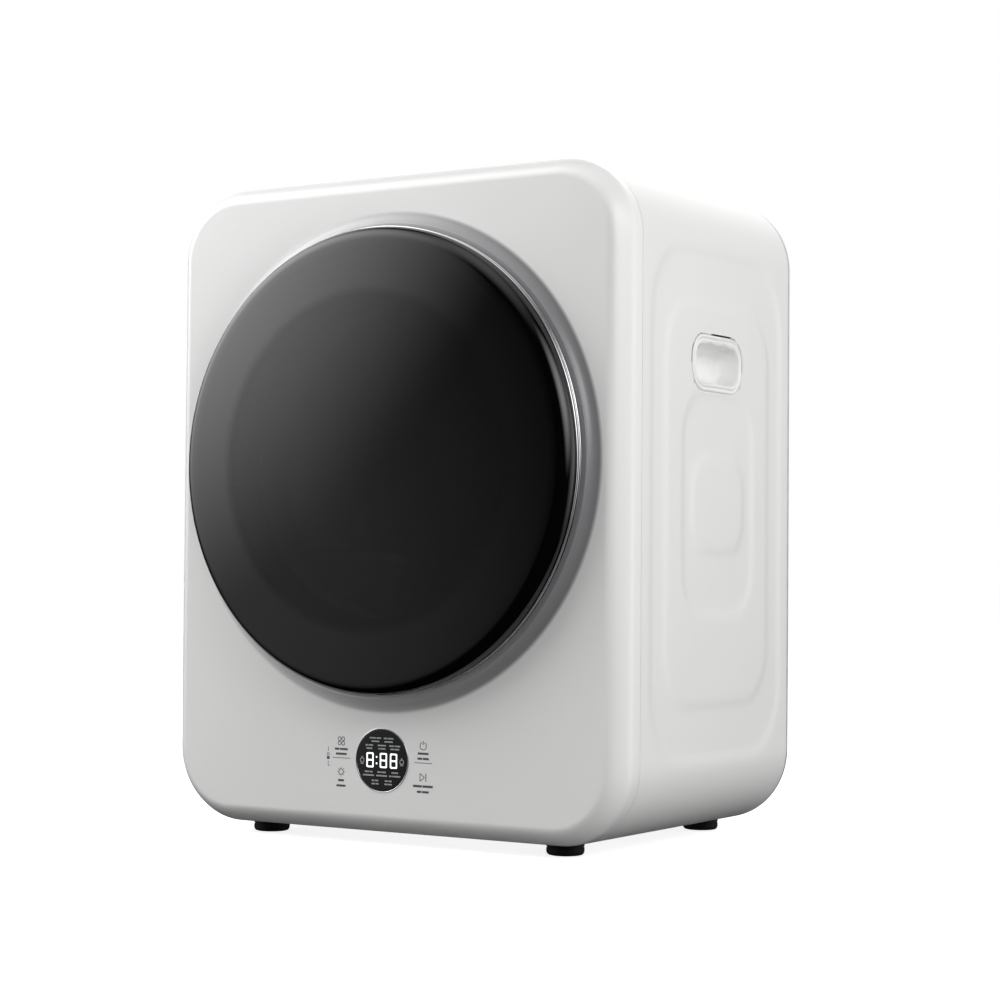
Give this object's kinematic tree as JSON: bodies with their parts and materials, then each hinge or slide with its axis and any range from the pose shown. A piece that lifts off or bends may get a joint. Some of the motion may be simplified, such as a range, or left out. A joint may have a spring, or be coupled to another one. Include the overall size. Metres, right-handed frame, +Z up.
{
  "type": "compact clothes dryer",
  "caption": "Compact vented clothes dryer: white rounded cabinet, round domed glass door on a raised collar, turning drum, side hand grips and rubber feet.",
  "frame": {"origin": "on the floor under the middle of the whole object's box, from the glass dome at the front to the vent outlet at the back", "axes": "+Z up, +X to the right seen from the front, +Y to the back; the door faces -Y"},
  "size_m": [0.497, 0.395, 0.613],
  "materials": {
    "white_abs": "glossy moulded ABS",
    "white_enamel": "gloss powder-coated steel",
    "zinc_sheet": "satin galvanised steel",
    "pale_plastic": "moulded polypropylene",
    "black_plastic": "fine-textured moulded nylon",
    "black_rubber": "matt moulded rubber",
    "tinted_glass": "polished tinted tempered glass",
    "clear_glass": "clear pressed glass",
    "chrome": "polished chrome",
    "steel": "brushed stainless steel",
    "zinc_plated": "zinc-plated steel",
    "cast_aluminium": "die-cast aluminium",
    "ferrite": "ferrite magnet",
    "felt": "pressed wool felt",
    "board": "glass-epoxy circuit board"
  },
  "bodies": {
    "cabinet": {"front_panel": "white_abs", "cabinet_shell": "white_enamel", "rear_cover": "zinc_sheet", "base_plate": "zinc_sheet", "front_bulkhead": "zinc_sheet", "rear_bulkhead": "zinc_sheet", "door_bezel": "pale_plastic", "handle_cup_left": "white_abs", "handle_cup_right": "white_abs", "foot_front_left": "black_rubber", "foot_front_right": "black_rubber", "foot_rear_left": "black_rubber", "foot_rear_right": "black_rubber", "foot_screws": "zinc_plated", "rear_screws": "zinc_plated", "wall_bracket_nuts": "zinc_plated", "door_hinge_bracket": "zinc_plated", "door_hinge_pin": "zinc_plated", "door_magnet": "ferrite", "door_switch": "black_plastic", "display_window": "tinted_glass", "display_ring": "chrome", "control_board": "board", "power_board": "board", "drum_bearing": "steel", "bearing_housing": "cast_aluminium", "felt_ring": "felt", "roller_axles": "steel", "drum_belt": "black_rubber", "motor_housing": "cast_aluminium", "motor_cradle": "zinc_sheet", "capacitor": "cast_aluminium", "blower_housing": "pale_plastic", "exhaust_duct": "pale_plastic", "vent_collar": "black_plastic", "heater_duct": "cast_aluminium", "heater_element": "cast_aluminium", "cord_gland": "black_plastic"},
    "door": {"door_glass": "tinted_glass", "door_trim_ring": "chrome", "door_frame": "black_plastic", "door_bowl": "clear_glass", "door_gasket": "black_rubber", "door_hinge_leaf": "zinc_plated", "door_striker": "zinc_plated", "door_screws": "zinc_plated"},
    "drum": {"drum_shell": "steel", "drum_back": "steel", "drum_lifter_1": "pale_plastic", "drum_lifter_2": "pale_plastic", "drum_lifter_3": "pale_plastic", "drum_hub": "cast_aluminium", "drum_shaft": "steel"},
    "left_roller": {"front_roller_left": "black_plastic"},
    "right_roller": {"front_roller_right": "black_plastic"},
    "rotor": {"motor_shaft": "steel", "motor_pulley": "black_plastic", "blower_wheel": "black_plastic"},
    "lint_filter": {"lint_filter_frame": "pale_plastic", "lint_filter_mesh": "steel"}
  },
  "joints": [
    {"name": "door_hinge", "type": "hinge", "parent": "cabinet", "child": "door", "pos_m": [-0.2065, -0.1647, 0.3485], "axis": [0, 0, -1], "range_deg": [0, 100]},
    {"name": "drum_spin", "type": "hinge", "parent": "cabinet", "child": "drum", "pos_m": [0, -0.0125, 0.3485], "axis": [0, 1, 0], "continuous": true},
    {"name": "left_roller_spin", "type": "hinge", "parent": "cabinet", "child": "left_roller", "pos_m": [-0.13748, -0.1525, 0.17254], "axis": [0, 1, 0], "continuous": true},
    {"name": "right_roller_spin", "type": "hinge", "parent": "cabinet", "child": "right_roller", "pos_m": [0.13748, -0.1525, 0.17254], "axis": [0, 1, 0], "continuous": true},
    {"name": "rotor_spin", "type": "hinge", "parent": "cabinet", "child": "rotor", "pos_m": [-0.08, 0.0475, 0.0802], "axis": [0, 1, 0], "continuous": true},
    {"name": "lint_filter_slide", "type": "slide", "parent": "cabinet", "child": "lint_filter", "axis": [0, 0, 1], "range_m": [0, 0.06]}
  ],
  "couplings": [
    {"joint": "rotor_spin", "follows": "drum_spin", "ratio": 16.564},
    {"joint": "left_roller_spin", "follows": "drum_spin", "ratio": -11.389},
    {"joint": "right_roller_spin", "follows": "drum_spin", "ratio": -11.389}
  ]
}
